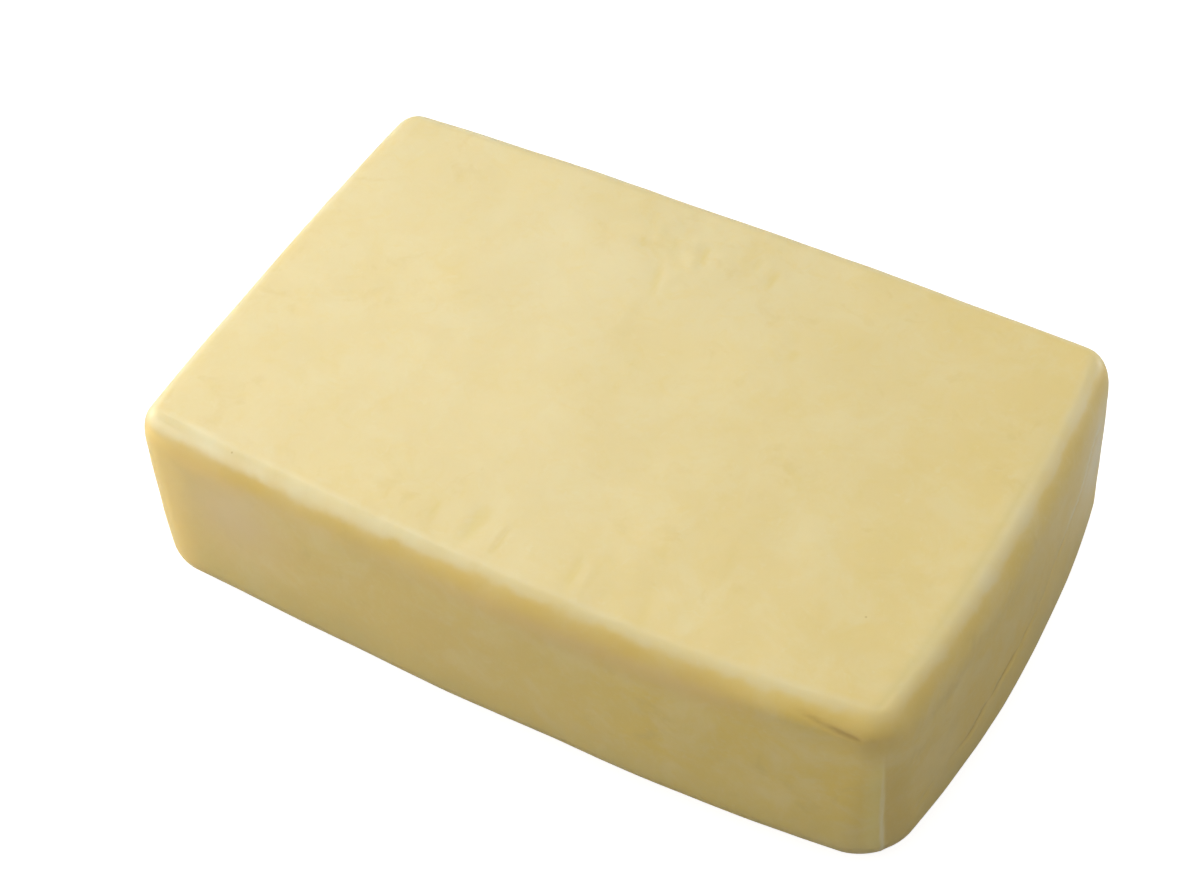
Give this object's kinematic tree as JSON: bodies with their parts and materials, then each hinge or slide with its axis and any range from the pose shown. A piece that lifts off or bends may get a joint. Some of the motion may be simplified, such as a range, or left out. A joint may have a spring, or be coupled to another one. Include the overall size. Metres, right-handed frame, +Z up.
{
  "type": "edam cheese block",
  "caption": "Rindless rectangular slab of pale yellow edam cheese, with rounded edges, gently swollen sides and a flat underside.",
  "frame": {"origin": "under the middle of the block, on its flat underside", "axes": "+X along the long side towards the more swollen end, +Y across the block, +Z up"},
  "size_m": [0.4398, 0.2844, 0.1195],
  "materials": {
    "cheese": "satin, slightly moist, translucent pale yellow"
  },
  "bodies": {
    "root": {"edam_block": "cheese"}
  },
  "joints": []
}
